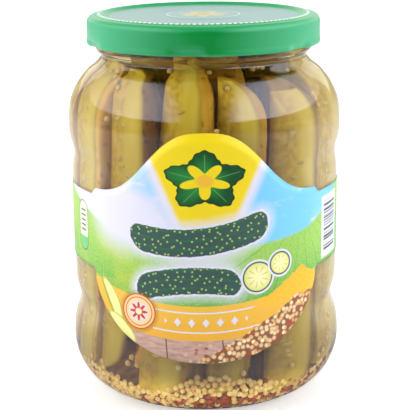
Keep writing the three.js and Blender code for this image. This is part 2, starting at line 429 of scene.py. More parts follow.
def cutPoint(d, side):  # a point of a cut face, which swells a little, at a share of the way to the rind
    swell = 0.075 * math.sin(math.pi * d)
    return (d - swell) * math.sqrt(0.5), side * (d + swell) * math.sqrt(0.5)


def quarterSection(count):  # outline of a quarter of radius 1: two cut faces and the rind
    face = int(count * 0.29)
    rind = count - 2 * face
    points = [(*cutPoint(i / face, -1), 0, i / face) for i in range(face)]
    for i in range(rind):
        a = math.radians(-45 + 90 * i / rind)
        points.append((math.cos(a), math.sin(a), 1, 1))
    points += [(*cutPoint(1 - i / face, 1), 0, 1 - i / face) for i in range(face)]
    p = np.array(points)
    for k in range(3):
        p = 0.25 * np.roll(p, 1, 0) + 0.5 * p + 0.25 * np.roll(p, -1, 0)
    return p


def quarterPoint(q, index, s, across, side, rind):  # a point of one standing quarter, in millimetres
    middle, half = (q["lo"] + q["hi"]) / 2, (q["hi"] - q["lo"]) / 2
    z = middle + half * s
    dome = max(0.0, 1 - min(1.0, (q["hi"] - z) / quarterMesh["dome"])) ** 2
    foot = max(0.0, 1 - min(1.0, (z - q["lo"]) / q["foot"])) ** 2
    end = math.sqrt(max(0.0, 1 - dome)) * math.sqrt(max(0.0, 1 - foot)) * (1 - 0.1 * abs(s) ** 3)
    lump = 1 + 0.04 * noise.noise(Vector((index * 7.1, s * 2.2, 0.3)))
    wart = noise.noise(Vector((across * 5, side * 5, s * 13 + index * 3.7)))
    r = q["r"] * (1 - q.get("taper", 0) * s) * end * lump
    r += rind * end * (0.9 * max(0, wart) ** 2 - 0.25 * abs(wart))
    skin = math.radians(q["skin"])
    a, d = skin + math.atan2(side, across), math.hypot(across, side) * r
    out = math.hypot(q["x"], q["y"])
    pull = min(1.0, (roomAt(z, bearing(q["x"], q["y"])) - 0.3) / out)  # the core edge follows the glass
    t = (z - middle) / (half * 2)
    shift = q["lean"] * t + q.get("bend", 0) * (0.25 - t * t)
    bow = 1.3 * noise.noise(Vector((index * 3.3, 5.0, 1.0))) * (1 - s * s)
    x = d * math.sin(a) + q["x"] * pull - shift * q["y"] / out + bow * math.sin(skin)
    y = -d * math.cos(a) + q["y"] * pull + shift * q["x"] / out - bow * math.cos(skin)
    radius = math.hypot(x, y)
    f = settle(radius, z, bearing(x, y)) / max(radius, 1e-6)
    return Vector((x * f, y * f, z))


def makeQuarters(material):
    around, along = quarterMesh["around"], quarterMesh["along"]
    section = quarterSection(around)
    ball = bmesh.new()
    bmesh.ops.create_uvsphere(ball, u_segments=around, v_segments=along, radius=1)
    layers = {name: ball.verts.layers.float.new(name) for name in ("rind", "deep", "lot", "cap")}
    rest = [v.co.copy() for v in ball.verts]
    heap = bmesh.new()
    step = bpy.data.meshes.new("step")
    for index, q in enumerate(quarters):
        lot, cap = q.get("tone", 0.2 + 0.7 * random.random()), q.get("cap", quarterMesh["cap"])
        for v, co in zip(ball.verts, rest):
            s = max(-1.0, min(1.0, co.z))
            k = int(round(math.atan2(co.y, co.x) / fullTurn * around)) % around
            across, side, rind, deep = section[k]
            if side * q.get("peel", 0) > 0.12:  # a face that kept its rind
                rind = 1
            v.co = quarterPoint(q, index, s, across, side, rind) * mm
            v[layers["rind"]], v[layers["deep"]] = rind, deep
            v[layers["lot"]], v[layers["cap"]] = lot, smoothStep(s, cap - 0.02, cap + 0.05)
        ball.to_mesh(step)
        heap.from_mesh(step)
    bpy.data.meshes.remove(step)
    ball.free()
    bmesh.ops.recalc_face_normals(heap, faces=heap.faces)
    finishPiece("gherkinQuarters", heap, material, "pickles")


pipShape = {"perFace": 26, "along": (-0.78, 0.74), "deep": (0.2, 0.6), "size": (0.8, 1.1),
            "sides": (0.32, 0.62, 1.5)}


def makePips(material):  # pale pips lying in the cut faces near the core
    p = pipShape
    thin, wide, long = p["sides"]
    spots, tones = [], []
    for index, q in enumerate(quarters):
        for face in (-1, 1):
            for k in range(p["perFace"]):
                s, d = random.uniform(*p["along"]), random.uniform(*p["deep"])
                at = [quarterPoint(q, index, s + ds, *cutPoint(d + dd, face), 0)
                      for ds, dd in ((0, 0), (0.004, 0), (0, 0.01))]
                up, out = (at[1] - at[0]).normalized(), (at[2] - at[0]).normalized()
                out = (out + up * random.uniform(-0.5, 0.9)).normalized()
                flat = out.cross(up).normalized()
                turned = np.array(Matrix((flat * thin, out.cross(flat) * wide, out * long)).transposed())
                spots.append((np.array(at[0]) * mm, random.uniform(*p["size"]) * mm, turned))
                tones.append(random.random())
    template = seedTemplate()
    joinCopies("gherkinPips", template, spots, tones, material, "pickles")
    template.free()


def pipMaterial():
    material, tree, place = newMaterial("gherkinPipCream")
    tone = readAttribute(tree, "tone")
    fine = grain(place, 700.0, 2.0)
    colour = (tone * 0.6 + fine * 0.5).step(0.2, 0.9).mix(rgb(222, 192, 96), rgb(236, 212, 124))
    closeMaterial(tree, surface(tree, Base_Color=colour, Roughness=0.3, IOR=1.38))
    return material


gherkinLook = {
    "flesh": (rgb(220, 190, 58), rgb(234, 210, 92)), "pulp": (rgb(200, 162, 40), rgb(220, 188, 72)),
    "under": rgb(176, 146, 44), "rind": (rgb(220, 162, 36), rgb(240, 194, 74)),
    "rindDark": (rgb(126, 86, 18), rgb(158, 116, 34)), "speck": rgb(84, 50, 14), "shade": rgb(120, 92, 30),
    # glow colours of the quarters: painted light
    "glow": (0.12, 0.07, 0.01, 1), "paintedGlowLow": (0.3, 0.155, 0.055, 1),
}


def gherkinMaterial():
    material, tree, place = newMaterial("gherkinFleshAndRind")
    look = gherkinLook
    rind, deep, lot, tip = (readAttribute(tree, name) for name in ("rind", "deep", "lot", "cap"))
    x, y, height = axes(tree, place)
    fine = grain(place, 420.0, 3.0)
    long = grain(place, 160.0, 3.0, 0.5, (1, 1, 0.18))
    blotch = grain(place, 60.0, 2.0)
    flesh = (long * 0.7 + blotch * 0.3).step(0.3, 0.72).mix(*look["flesh"])
    pulp = fine.step(0.35, 0.65).mix(*look["pulp"])
    flesh = deep.step(0.62, 0.35).mix(flesh, pulp)
    flesh = (deep + (long - 0.5) * 0.12).step(0.82, 1.0).mix(flesh, look["under"])
    speck = grain(place, 330.0, 1.0).step(0.60, 0.70)
    pale, dark = long.step(0.3, 0.7).mix(*look["rind"]), long.step(0.35, 0.7).mix(*look["rindDark"])
    skin = (speck * (lot * 0.4 + 0.3)).mix(lot.mix(pale, dark), look["speck"])
    cap = (tip + (blotch - 0.5) * 0.8).step(0.3, 0.6)  # rind drawn over the tip
    colour = rind.step(0.15, 0.75).high(cap).mix(flesh, skin)
    colour = (height.step(0.05, 0.012) * 0.34).mix(colour, look["shade"])  # less light near the floor
    neck = height.step(0.123, 0.130) * x.step(-0.032, -0.022) * (long * 1.4 + 0.3)
    glow = neck.mix((0, 0, 0, 1), look["glow"])  # painted light: the quarters glow in the neck
    inner = (x * x + y * y).root().step(0.036, 0.028) * height.step(0.034, 0.018)
    glow = (inner * x.step(0.006, -0.012)).mix(glow, look["paintedGlowLow"])  # painted light: they also glow low in the middle, over the seeds
    bump = relief(tree, 0.35, 0.0006, fine * 0.5 + long * 0.5)
    closeMaterial(tree, surface(tree, Base_Color=colour, Roughness=0.34, IOR=1.38, Specular_IOR_Level=0.2,
                                Subsurface_Weight=0.3, Subsurface_Radius=(0.004, 0.003, 0.001),
                                Subsurface_Scale=1.0, Emission_Color=glow, Emission_Strength=1.0,
                                Normal=bump))
    return material


# mustard seeds: a settled bed on the floor of the jar and seeds against the glass
seedBedShape = {"top": 8.5, "count": 1350, "tries": 16000, "size": (0.92, 1.2), "heelShare": 0.8,
                "glassShare": 0.55, "floorWide": 30}


def joinCopies(name, template, spots, tones, material, node=None):
    base = np.array([v.co for v in template.verts])
    faces = np.array([[v.index for v in f.verts] for f in template.faces])
    count, size = len(spots), len(base)
    points = np.concatenate([base @ turned.T * scale + spot for spot, scale, turned in spots])
    loops = (faces[None] + (np.arange(count) * size)[:, None, None]).reshape(-1)
    mesh = bpy.data.meshes.new(name)
    mesh.vertices.add(count * size)
    mesh.vertices.foreach_set("co", points.astype(np.float32).reshape(-1))
    mesh.loops.add(len(loops))
    mesh.loops.foreach_set("vertex_index", loops.astype(np.int32))
    mesh.polygons.add(count * len(faces))
    mesh.polygons.foreach_set("loop_start", np.arange(count * len(faces), dtype=np.int32) * 3)
    mesh.update(calc_edges=True)
    mesh.validate()
    tone = mesh.attributes.new("tone", "FLOAT", "POINT")
    tone.data.foreach_set("value", np.repeat(np.array(tones, np.float32), size))
    placeMesh(name, mesh, material, node)


def seedTemplate():
    bm = bmesh.new()
    bmesh.ops.create_icosphere(bm, subdivisions=2, radius=1)
    bm.verts.ensure_lookup_table()
    bm.verts.index_update()
    return bm


def looseTurn():
    return np.array(Matrix.Rotation(random.uniform(0, fullTurn), 3, Vector(
        (random.gauss(0, 1), random.gauss(0, 1), random.gauss(0, 1) + 1e-3)).normalized()) @ Matrix.Diagonal(
        (random.uniform(0.9, 1.05), random.uniform(0.9, 1.05), 1.0)))


def seedTone(share):
    return random.uniform(0.0, 0.55) if random.random() > share else random.uniform(0.75, 1.0)


def redShare(degrees, z):  # brown-red seeds lie lowest at the front and in a drift on the right
    low = 0.75 * (1 - smoothStep(z, 6.5, 10.5)) * math.exp(-((degrees - 4) / 34) ** 2)
    drift = 0.5 * math.exp(-((degrees - 52) / 12) ** 2 - ((z - 12) / 4) ** 2)
    return 0.08 + low + drift


def moundTop(degrees):  # seeds lie higher at the front and in a few drifts
    a = math.radians(degrees)
    drift = noise.noise(Vector((math.sin(a) * 2, math.cos(a) * 2, 4.0)))
    flanks = 6.0 * math.exp(-((abs(degrees) - 64) / 24) ** 2)
    return 9.4 + 8.2 * math.exp(-((degrees - 6) / 26) ** 2) + flanks + 2.2 * drift


def makeSeeds(material):
    b = seedBedShape
    taken = np.zeros((0, 3))
    spots, tones = [], []
    low, high = b["size"]
    tries = 0
    while len(spots) < b["count"] and tries < b["tries"]:
        tries += 1
        size = random.uniform(low, high)
        a = random.uniform(-math.pi, math.pi)
        depth = random.random()
        if depth < b["heelShare"]:  # against the heel, in two layers
            z = 4.6 + (moundTop(math.degrees(a)) - 4.6) * random.random() ** 0.8
            behind = 0 if depth < b["glassShare"] else random.uniform(1.6, 3.0)
            r = hollowRadius(z) - size * 1.25 - 0.1 - behind
        else:  # on the floor, seen from below
            r = b["floorWide"] * math.sqrt(random.random())
            z = 5.6 + size if r < 18 else 4.6 + size
        spot = np.array((r * math.sin(a), -r * math.cos(a), z))
        if len(taken) and np.min(np.sum((taken - spot) ** 2, 1)) < (size * 1.75) ** 2:
            continue
        taken = np.vstack([taken, spot])
        spots.append((spot * mm, size * mm, looseTurn()))
        tones.append(seedTone(redShare(math.degrees(a), z)))
    template = seedTemplate()
    joinCopies("mustardSeeds", template, spots, tones, material, "mustard_seeds")
    loose, looseTones = [], []
    for degrees, z in wallSeeds:
        size = random.uniform(low, high)
        a = math.radians(degrees)
        r = hollowRadius(z) - pressed(degrees, z) - size - 0.25
        loose.append((np.array((r * math.sin(a), -r * math.cos(a), z)) * mm, size * mm, looseTurn()))
        looseTones.append(random.uniform(0, 0.5))
    joinCopies("looseSeeds", template, loose, looseTones, material)
    template.free()


def makeSeedBed():
    top = seedBedShape["top"]
    heel = heelLine(jarShape["wall"] + 2.6, jarShape["floor"] + 1.4, 22)
    line = [(0, 6.2)] + [(r, z) for r, z in heel if z < top]
    line += [(hollowRadius(top) - 3.4, top - 0.2), (34, top - 0.4), (20, top - 0.5), (0, top - 0.5)]
    bm = turn(line, 96)
    for v in bm.verts:
        v.co += v.normal * 0.0005 * noise.noise(v.co * 700)
    material, tree, place = newMaterial("seedBedBrown")
    lumps = grain(place, 420.0, 3.0)
    colour = lumps.step(0.3, 0.7).mix(rgb(104, 64, 24), rgb(168, 118, 50))
    bump = relief(tree, 0.6, 0.001, lumps)
    closeMaterial(tree, surface(tree, Base_Color=colour, Roughness=0.5, IOR=1.4, Normal=bump))
    finishPiece("seedBed", bm, material, "mustard_seeds")


def seedMaterial():
    material, tree, place = newMaterial("mustardSeedCoat")
    tone = readAttribute(tree, "tone")
    fine = grain(place, 900.0, 2.0)
    cream = (fine * 0.5 + tone * 0.9).step(0.15, 0.75).mix(rgb(255, 230, 162), rgb(246, 204, 122))
    red = fine.step(0.3, 0.7).mix(rgb(136, 52, 26), rgb(170, 84, 40))
    colour = tone.step(0.62, 0.74).mix(cream, red)
    bump = relief(tree, 0.2, 0.0003, fine)
    closeMaterial(tree, surface(tree, Base_Color=colour, Roughness=0.38, IOR=1.4, Normal=bump))
    return material


# twist-off lid
lidShape = {"radius": 42.5, "bottom": 130.3, "top": 141.1, "sheet": 0.45, "sides": 180, "skirt": 133.4,
            "lugTurn": -7, "lugsApart": 60, "lugDeep": 1.1}
lidLook = {"green": (rgb(0, 130, 52), rgb(0, 138, 60)), "ring": rgb(0, 152, 78), "panel": rgb(100, 138, 136),
           "dash": rgb(226, 236, 232), "line": rgb(176, 192, 190), "petal": rgb(180, 160, 60),
           "heart": rgb(168, 124, 56), "paintedSheenTint": rgb(96, 206, 168)}


def makeLid():
    s = lidShape
    r, top, low, skirt = s["radius"], s["top"], s["bottom"], s["skirt"]
    outer = [(0, top - 0.75), (12, top - 0.78), (14, top - 0.85), (15, top - 1.05), (30, top - 1.1),
             (34.6, top - 1.1), (35.3, top - 1.02), (35.9, top - 0.75), (36.4, top - 0.35), (36.9, top - 0.1),
             (37.5, top), (38.1, top - 0.03), (38.7, top - 0.17), (39.2, top - 0.37), (39.6, top - 0.5),
             (40.1, top - 0.55), (40.6, top - 0.62), (41.1, top - 0.78), (41.6, top - 1.1), (42, top - 1.5),
             (42.3, top - 2), (42.45, top - 2.5), (r, top - 3.2), (r, 135), (r, skirt), (r + 0.03, 132.6),
             (r + 0.14, 132.1), (r + 0.22, 131.6), (r + 0.22, 131.2), (r + 0.12, low + 0.45),
             (r - 0.1, low + 0.15), (r - 0.4, low), (r - 0.75, low + 0.1), (r - 1.0, low + 0.45),
             (r - 1.1, low + 1), (r - 0.95, low + 1.6), (r - 0.6, low + 2.1)]
    inner = [(r - s["sheet"], skirt), (r - s["sheet"], top - 3.2), (41.6, top - 2.4), (40.8, top - 2.0),
             (36, top - 2.0), (20, top - 1.75), (0, top - 1.7)]
    bm = turn(outer + inner, s["sides"])

    def shape(degrees, radius, z):
        if z > skirt or radius < 39:
            return radius, z
        half = s["lugsApart"] / 2
        off = abs((degrees - s["lugTurn"] + 720 + half) % s["lugsApart"] - half)
        pinch = (1 - smoothStep(off, 4, 10)) * (1 - smoothStep(z, 131.2, skirt))
        return radius - s["lugDeep"] * pinch, z
    reshape(bm, shape)
    finishPiece("lidShell", bm, lidMaterial(), "lid")


def lidMaterial():
    material, tree, place = newMaterial("lidGreenLacquer")
    look = lidLook
    x, y, z = axes(tree, place)
    r = (x * x + y * y).root() * 1000.0
    angle = x.arcTan(-y)
    top = z.step(0.1394, 0.1398)
    colour = grain(place, 40.0, 2.0).step(0.3, 0.7).mix(*look["green"])
    # painted light: the top is drawn a brighter green on the ring, which faces the light above, and paler on
    # the panel, for the sky it mirrors
    colour = top.mix(colour, (r - 34.4).edge(0.4).mix(look["ring"], look["panel"]))
    dash = abs((angle * 60.0).sine()).step(0.45, 0.6) * (abs(r - 38.2) - 0.55).edge(0.12)
    rosette = r - ((angle * 7.0).cosine() * 0.22 + 0.78) * 9.5
    marks = ((dash, "dash"), ((abs(r - 13.2) - 0.3).edge(0.12), "line"), (rosette.edge(0.15), "petal"),
             ((r - 2.6).edge(0.15), "heart"))
    for mark, ink in marks:
        colour = (top * mark).mix(colour, look[ink])
    facing = addNode(tree, "ShaderNodeLayerWeight", None, {"Blend": 0.5}, 1)
    aslant = ((facing - 0.012) * 1.85).high(0.0).low(1.0).root()  # painted sheen: the base colour turns paler at a slant, for the soft boxes that the lid's sides mirror
    colour = (aslant * (0.44 - top * 0.34)).mix(colour, look["paintedSheenTint"])
    bump = relief(tree, 0.06, 0.0003, grain(place, 900.0, 2.0))
    closeMaterial(tree, surface(tree, Base_Color=colour, Roughness=0.36, Coat_Weight=0.3, Coat_Roughness=0.24,
                                IOR=1.45, Specular_IOR_Level=0.22, Normal=bump))
    return material


# paper label
def labelTop(a):
    b = abs(a)
    return 80.5 + 2.4 * (1 - smoothStep(b, 50, 54.5)) + 22.9 * math.exp(-((b / 27.6) ** 2.87))


def labelBottom(a):
    u = min(1.0, abs(a) / 52.5)
    return 53.2 - 29.3 * (1 - u ** 2.2) ** 0.62


labelShape = {"sides": 420, "rows": 18, "lift": 0.05, "paper": 0.14, "overlap": 4.0, "seam": 0.17}


def makeLabel():
    s = labelShape
    bm = bmesh.new()
    bmesh.ops.create_grid(bm, x_segments=s["sides"], y_segments=s["rows"], size=0.5)
    for v in bm.verts:  # the flat sheet is bent round the jar and its end lapped over its start
        degrees = v.co.x * 2 * (180 + s["overlap"])
        low, high = labelBottom(degrees), labelTop(degrees)
        z = low + (high - low) * (v.co.y + 0.5)
        lap = s["seam"] * smoothStep(degrees, 178 - 2 * s["overlap"], 180 - s["overlap"])
        r = bodyRadius(z) - pressed(degrees, z) + s["lift"] + s["paper"] + lap
        a = math.radians(degrees)
        v.co = (r * math.sin(a) * mm, -r * math.cos(a) * mm, z * mm)
    bmesh.ops.recalc_face_normals(bm, faces=bm.faces)
    bmesh.ops.solidify(bm, geom=bm.faces[:], thickness=s["paper"] * mm)
    finishPiece("labelPaper", bm, labelMaterial(), "label")


# simple shapes of the print, as signed distances in millimetres along the paper
def disc(s, z, x, y, r):
    return ((s - x) * (s - x) + (z - y) * (z - y)).root() - r


def turnAxes(s, z, x, y, degrees):
    c, k = math.cos(math.radians(degrees)), math.sin(math.radians(degrees))
    u, v = s - x, z - y
    return u * c + v * k, v * c - u * k


def oval(u, v, wide, tall):
    a, b = u / wide, v / tall
    return ((a * a + b * b).root() - 1) * min(wide, tall)


def plate(u, v, wide, tall, corner):
    a, b = abs(u) - (wide - corner), abs(v) - (tall - corner)
    outA, outB = a.high(0.0), b.high(0.0)
    return (outA * outA + outB * outB).root() + a.high(b).low(0.0) - corner


def sausage(u, v, half, thick, bend):  # a bent gherkin lying along u
    lift = v - u * u * bend
    over = (abs(u) - half).high(0.0)
    return (over * over + lift * lift).root() - thick


printInk = {
    "yellow": rgb(236, 210, 4), "gold": rgb(236, 176, 54), "white": rgb(222, 221, 240),
    "sky": rgb(118, 200, 250), "leafDark": rgb(6, 72, 30), "leafLight": rgb(30, 128, 50),
    "slate": rgb(56, 86, 80), "fieldPale": rgb(190, 214, 110), "fieldMid": rgb(140, 196, 84),
    "fieldDeep": rgb(84, 166, 66), "lime": rgb(214, 216, 70), "wood": rgb(206, 170, 156),
    "woodDark": rgb(168, 126, 112), "crack": rgb(74, 50, 46), "cream": rgb(250, 228, 180),
    "red": rgb(206, 66, 44), "seed": rgb(222, 170, 110), "seedDark": rgb(170, 78, 54),
    "spice": rgb(240, 166, 20), "slice": rgb(226, 226, 132), "bar": rgb(66, 84, 78),
}


def labelPrint(tree, place):
    ink = printInk
    x, y, z = axes(tree, place)
    angle = x.arcTan(-y)
    s = angle * 50.0  # millimetres round the front
    z = z * 1000.0
    z = z + (z * 0.0085 + 0.95) * angle.cosine().high(0.0)  # the print hangs a little at the front
    flat = addNode(tree, "ShaderNodeCombineXYZ", None, [s, z])
    cloud = grain(flat, 0.05, 3.0, 0.55)
    wander = grain(flat, 0.3, 2.0)
    wisp = grain(flat, 0.16, 4.0, 0.6, (0.5, 1.5, 1))
    leafy = grain(flat, 1.1, 3.0, 0.6)
    cells = {"voronoi_dimensions": "2D"}

    # pale sky, white glow on the left, fields below
    blue = s.step(-30, 10) * 0.75 + (cloud - 0.5) * 0.9
    blue = blue - (wisp - 0.55).step(0.0, 0.22) * 0.6
    blue = blue + disc(s, z, -21, 90, 0).step(12, 3) * 0.45
    colour = blue.step(0.0, 0.75).mix(ink["white"], ink["sky"])
    horizon = s * s * 0.0036 + (s * 0.11).sine() * 0.9 + 66
    below = horizon - z
    depth = below.step(0, 30)
    field = (depth + (cloud - 0.5) * 0.8).step(0.0, 0.9).mix(ink["fieldMid"], ink["fieldDeep"])
    field = ((leafy - 0.5) * 1.2 + 0.3).step(0.0, 1.0).mix(field, ink["fieldPale"])
    fan = (z - 77).arcTan(s - 37)
    furrow = abs((fan * 11.0).sine()).step(0.12, 0.0) * s.step(-14, 12)
    field = (furrow * 0.55).mix(field, ink["leafLight"])
    meadow = (cloud * 1.6 - 0.5).step(0.1, 0.8) * s.step(-12, -32)
    field = (meadow * 0.8).mix(field, ink["lime"])
    colour = below.step(-0.4, 1.6).mix(colour, field)
    glow = disc(s, (z - 76) * 1.25, -30, 0, 0).step(22, 6)
    colour = glow.mix(colour, ink["white"])
    mist = disc(s * 0.6, z - 64, 0, 0, 0).step(11, 2)
    colour = (mist * 0.55).mix(colour, ink["white"])

    # yellow field at the crown, fading to white below
    side = abs(s - 0.5) - (z * 0.46 - 25.5)
    crown = z.step(68, 78)
    colour = (side.step(5.5, 1.0) * crown).mix(colour, ink["white"])
    yellow = (z.step(70, 108) * 0.6).mix(ink["yellow"], rgb(236, 210, 10))
    colour = (side.edge(1.3) * crown).mix(colour, yellow)

    # leaf with a yellow blossom
    u, v = turnAxes(s, z, 0, 91, 90)
    v = v * 0.74
    angle = v.arcTan(u)
    reach = (u * u + v * v).root()
    fives = (angle * 5.0).cosine()
    leaf = reach - (fives * 0.15 + (angle * 25.0).cosine() * 0.018 + 0.86) * 10.6
    colour = leaf.edge(0.14).mix(colour, rgb(10, 46, 24))
    tone = (leaf * -0.16 + (v * 0.05)).step(0.0, 1.2)
    colour = (leaf + 0.45).edge(0.2).mix(colour, tone.mix(ink["leafDark"], ink["leafLight"]))
    vein = abs((angle * 2.5).sine()) * reach
    colour = ((vein - 0.3).edge(0.14) * (leaf + 1.6).edge(0.5) * 0.7).mix(colour, rgb(96, 168, 84))
    bloom = reach - (fives * -0.3 + 0.7) * 6.6
    colour = bloom.edge(0.16).mix(colour, ink["yellow"])
    colour = ((reach - 2.2).edge(0.5) * 0.8).mix(colour, ink["gold"])

    # dark gherkins with a white rim and two slices
    warts = addNode(tree, "ShaderNodeTexVoronoi", cells, {"Vector": flat, "Scale": 0.45})
    gherkins = ((-2, 69.2, 6, 20, 4.9, 0.0065), (-6.5, 55.2, 4, 14, 4.7, -0.008))
    for cx, cz, tilt, half, thick, bend in gherkins:
        u, v = turnAxes(s, z, cx, cz, tilt)
        body = sausage(u, v, half, thick, bend) + (warts - 0.5) * 0.5
        colour = ((body - 2.4).edge(2.2) * 0.6).mix(colour, ink["white"])
        colour = (body - 0.75).edge(0.14).mix(colour, ink["white"])
        rib = ((v - u * u * bend) * 1.9).sine()
        shade = (rib.step(0.55, 1.0) * 0.35).mix(ink["slate"], ink["leafLight"])
        shade = ((warts - 0.16).edge(0.06) * 0.7).mix(shade, ink["fieldPale"])
        colour = body.edge(0.14).mix(colour, shade)
    for cx, cz, r in ((18.5, 55.6, 5.6), (27.3, 59.4, 4.3)):
        u, v = turnAxes(s, z, cx, cz, 20)
        reach = (u * u + v * v).root()
        colour = (reach - (r + 0.75)).edge(0.14).mix(colour, ink["white"])
        colour = (reach - r).edge(0.14).mix(colour, ink["slate"])
        flesh = (reach / r).step(0.3, 0.95).mix(rgb(244, 240, 180), ink["slice"])
        colour = (reach - (r - 0.55)).edge(0.2).mix(colour, flesh)
        angle = v.arcTan(u)
        pip = abs((angle * 4.5).sine()).step(0.45, 0.1) * (abs(reach - r * 0.5) - r * 0.2).edge(0.2)
        colour = (pip * 0.6).mix(colour, rgb(176, 184, 84))

    # orange ribbon with lozenges and two rules, then the boards
    sag = s * s * 0.0036 + s * 0.02
    ribbon = abs(z - sag - 39.6) - 6.4
    onFront = (abs(s) - 45).edge(0.2)
    gold = (z - sag - 33).step(0, 13).mix(ink["gold"], rgb(240, 188, 66))
    colour = (ribbon.edge(0.12) * onFront).mix(colour, gold)
    cell = (s * 0.2 + 100.5).fraction() - 0.5
    gem = abs(cell * 5.0) + abs(z - sag - 39.9) * 0.8 - 1.25
    colour = (gem.edge(0.1) * (abs(s) - 14.6).edge(0.2)).mix(colour, ink["white"])
    rule = abs(abs(z - sag - 39.9) - 3.6) - 0.25
    colour = (rule.edge(0.08) * (abs(s) - 19).edge(0.2)).mix(colour, ink["white"])
    foot = z - sag - 33.2
    plank = abs((s * 0.05 + (z - 30) * 0.004 + 100.2).fraction() - 0.5) * 20.0
    board = grain(flat, 0.55, 4.0, 0.6, (0.35, 1.6, 1)).step(0.32, 0.72)
    wood = (board * 0.75).mix(ink["wood"], ink["woodDark"])
    ground = (plank - 0.2).edge(0.1).mix(wood, ink["crack"])
    colour = (foot.edge(0.12) * onFront).mix(colour, ground)

    # spice and a spill of seeds on the right
    ridge = abs(s - 37) * 0.62 + (z - 57) * 1.0 + (wander - 0.5) * 2.0
    ridge = ridge.high((45.5 - z) + (s - 30) * 0.1 + (wander - 0.5) * 3.0)
    spice = (leafy * 1.4 - 0.2).mix(ink["spice"], rgb(252, 204, 62))
    colour = (ridge.edge(0.4) * onFront).mix(colour, spice)
    grains = addNode(tree, "ShaderNodeTexVoronoi", cells, {"Vector": flat, "Scale": 0.58})
    hue = addNode(tree, "ShaderNodeTexVoronoi", cells, {"Vector": flat, "Scale": 0.58}, 1)
    hue = addNode(tree, "ShaderNodeSeparateColor", None, [hue], 0)
    tint = hue.step(0.84, 0.88).mix(hue.mix(ink["seed"], ink["cream"]), ink["seedDark"])
    tint = grains.step(0.28, 0.62).mix(tint, rgb(140, 88, 62))
    spill = (33 - s) * 0.55 + (z - 45.5) + (wander - 0.5) * 4.0
    spill = spill.high(z - 46.5 + (wander - 0.5) * 3.0)
    colour = (spill.edge(0.4) * onFront).mix(colour, tint)
    stray = (foot + 1.2).edge(0.3) * hue.step(0.70, 0.72) * (grains - 0.40).edge(0.06) * s.step(-12, 2)
    colour = stray.mix(colour, hue.step(0.84, 0.88).mix(ink["cream"], ink["seedDark"]))

    # gherkin quarters and a round seal on the left
    for cx, cz, tilt, wide in ((-35.5, 44.5, 118, 9.5), (-31.5, 35.5, 140, 8.0)):
        u, v = turnAxes(s, z, cx, cz, tilt)
        v = v - u * u * 0.014
        colour = oval(u, v, wide, 2.7).edge(0.14).mix(colour, rgb(172, 166, 56))
        flesh = leafy.mix(ink["slice"], rgb(246, 238, 170))
        colour = oval(u, v + 0.35, wide - 0.7, 2.0).edge(0.3).mix(colour, flesh)
    u, v = turnAxes(s, z, -24.5, 42.5, 0)
    seal = (u * u + v * v).root()
    colour = ((seal - 7.6).edge(0.9) * 0.4).mix(colour, rgb(120, 84, 40))
    colour = (seal - 6.6).edge(0.14).mix(colour, ink["red"])
    colour = (seal - 6.15).edge(0.14).mix(colour, seal.step(1, 6).mix(ink["white"], rgb(250, 206, 130)))
    colour = (abs(seal - 5.2) - 0.16).edge(0.08).mix(colour, ink["red"])
    angle = v.arcTan(u)
    star = seal - ((angle * 8.0).cosine() * 0.28 + 0.72) * 3.5
    colour = star.edge(0.12).mix(colour, ink["red"])
    colour = (seal - 1.25).edge(0.12).mix(colour, ink["cream"])

    # wings: a pale tablet on the left, a striped panel on the right, plain bars behind
    u, v = turnAxes(s, z, -54.5, 68, 0)
    tablet = plate(u, v, 3.4, 9, 3.2)
    colour = (tablet - 0.35).edge(0.12).mix(colour, ink["bar"])
    colour = tablet.edge(0.12).mix(colour, (v + 4).edge(0.2).mix(rgb(228, 236, 208), rgb(110, 196, 110)))
    line = abs((z * 0.55).fraction() - 0.5) * 1.8 - 0.3
    colour = (line.edge(0.1) * plate(u, v - 2, 2.0, 4.6, 0.3).edge(0.15)).mix(colour, ink["bar"])
    u, v = turnAxes(s, z, 57.5, 67, 0)
    colour = plate(u, v, 7.5, 11.5, 0.4).edge(0.12).mix(colour, ink["white"])
    along = {"noise_dimensions": "1D"}
    stripes = addNode(tree, "ShaderNodeTexNoise", along, {"W": z, "Scale": 1.1, "Detail": 0.0})
    striped = (stripes - 0.5).step(-0.01, 0.02) * plate(u, v, 5.5, 9.5, 0.2).edge(0.1)
    colour = striped.mix(colour, ink["bar"])
    behind = (abs(s) - 74).step(-0.1, 0.1)
    green = (cloud * 1.4 - 0.3).step(0.1, 0.9).mix(ink["fieldMid"], ink["fieldPale"])
    colour = behind.mix(colour, green)
    row = (z * 0.42).whole()
    note = abs((z * 0.42).fraction() - 0.5) * 2.38 - 0.34
    ragged = addNode(tree, "ShaderNodeTexNoise", along, {"W": row * 3.7, "Scale": 1.0})
    block = abs(abs(s) - 110.0) - (ragged * 16.0 + 10.0)
    gaps = addNode(tree, "ShaderNodeTexNoise", along, {"W": s * 0.5 + row * 9.1, "Scale": 1.0})
    inset = (abs(z - 67) - 10).edge(0.2) * gaps.step(0.36, 0.38)
    colour = (note.edge(0.1) * block.edge(0.2) * inset).mix(colour, ink["bar"])
    return colour


def labelMaterial():
    material, tree, place = newMaterial("labelPrint")
    bump = relief(tree, 0.08, 0.0002, grain(place, 1400.0, 2.0))
    colour = labelPrint(tree, place)
    closeMaterial(tree, surface(tree, Base_Color=colour, Roughness=0.42, IOR=1.45, Normal=bump))
    return material


makeGlass()
makeBrine()
makeQuarters(gherkinMaterial())
makePips(pipMaterial())
makeSeedBed()
makeSeeds(seedMaterial())
makeLid()
makeLabel()


